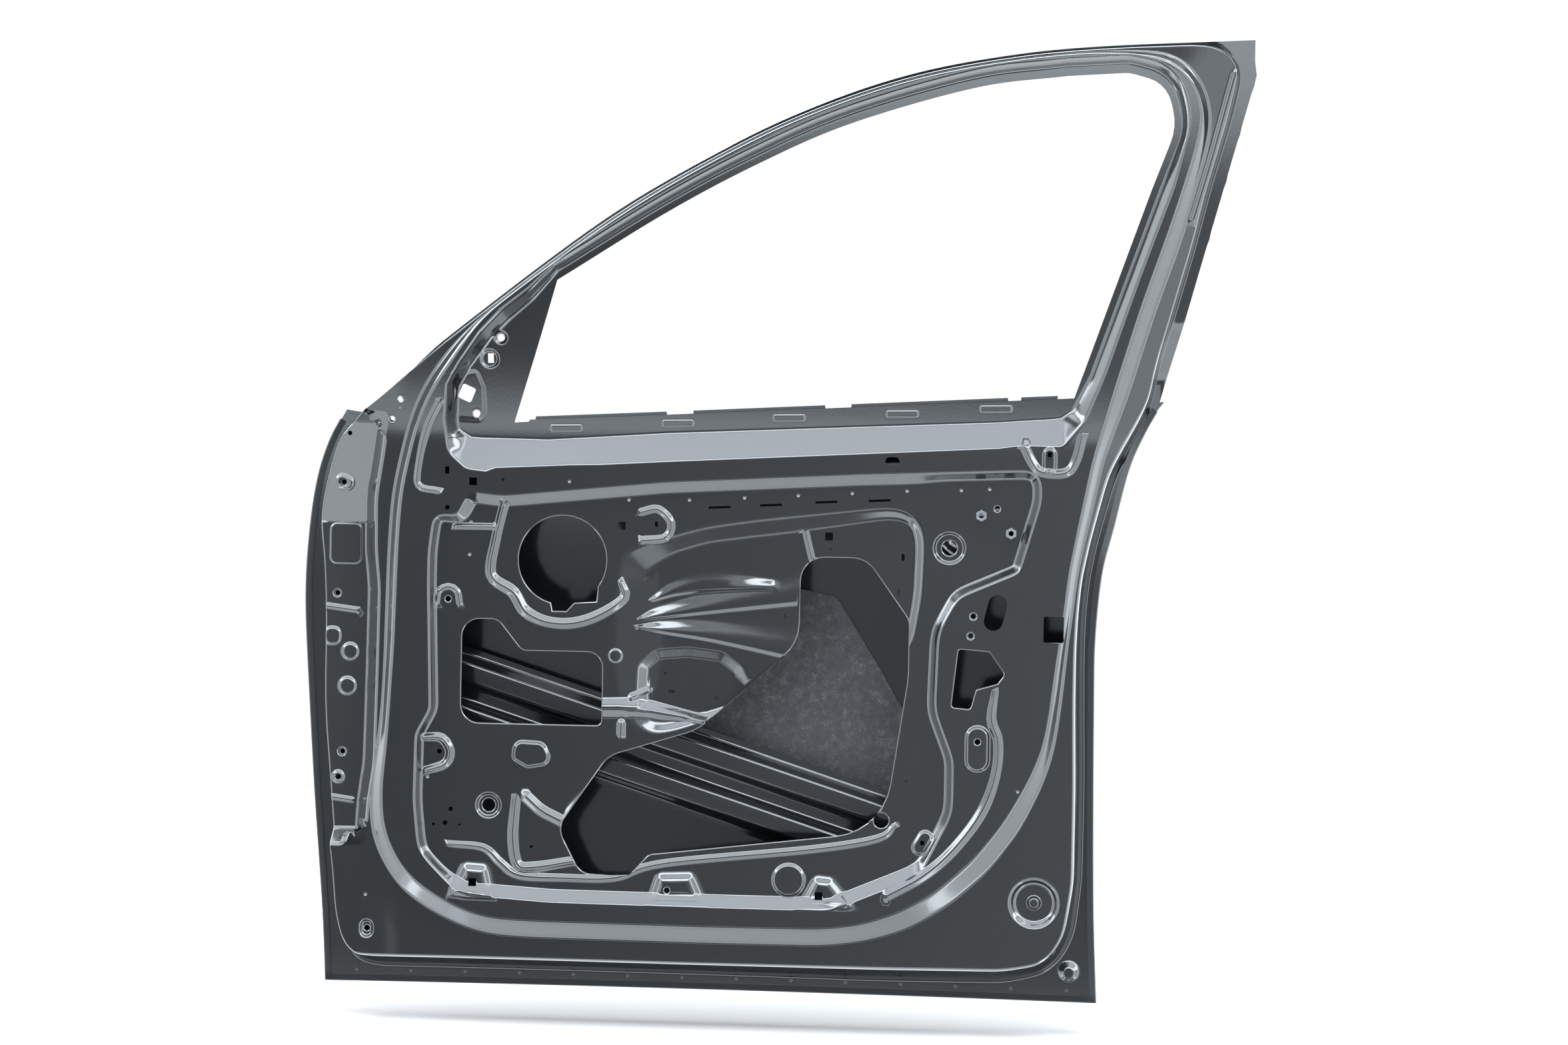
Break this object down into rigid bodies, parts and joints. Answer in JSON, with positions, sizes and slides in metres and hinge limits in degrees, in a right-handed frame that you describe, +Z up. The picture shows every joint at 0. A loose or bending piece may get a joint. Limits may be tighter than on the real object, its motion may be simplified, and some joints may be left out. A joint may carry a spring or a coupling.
{
  "type": "car door shell",
  "caption": "Bare pressed-steel shell of a front car door: inner panel with window frame and openings, hemmed outer skin, side beam and reinforcement plates inside.",
  "frame": {"origin": "middle of the upper hinge seat on the inner panel's hinge strip", "axes": "+X to the rear of the car, +Y outboard, +Z up"},
  "size_m": [1.219, 0.2721, 1.2085],
  "materials": {
    "panel": "glossy black electrocoat on pressed steel",
    "skin": "glossy black electrocoat on pressed steel",
    "frame": "glossy black electrocoat on pressed steel",
    "reinforcement": "satin black electrocoat on heavier pressed steel",
    "damping_pad": "dull dark grey bitumen with a mottled face",
    "nut": "satin zinc"
  },
  "bodies": {
    "root": {"inner_panel": "panel", "outer_skin": "skin", "window_frame_outer": "frame", "belt_reinforcement_inner": "reinforcement", "belt_reinforcement_outer": "reinforcement", "side_impact_beam": "reinforcement", "beam_bracket_front": "reinforcement", "beam_bracket_rear": "reinforcement", "hinge_reinforcement_upper": "reinforcement", "check_strap_reinforcement": "reinforcement", "hinge_reinforcement_lower": "reinforcement", "latch_reinforcement": "reinforcement", "mirror_reinforcement": "reinforcement", "handle_reinforcement": "reinforcement", "front_glass_channel": "reinforcement", "rear_glass_channel": "reinforcement", "skin_damping_pad": "damping_pad", "hinge_nut_upper": "nut", "hinge_nut_middle": "nut", "hinge_nut_lower": "nut", "latch_nut_upper": "nut", "latch_nut_lower": "nut", "trim_nut_front": "nut", "trim_nut_rear": "nut"}
  },
  "joints": []
}
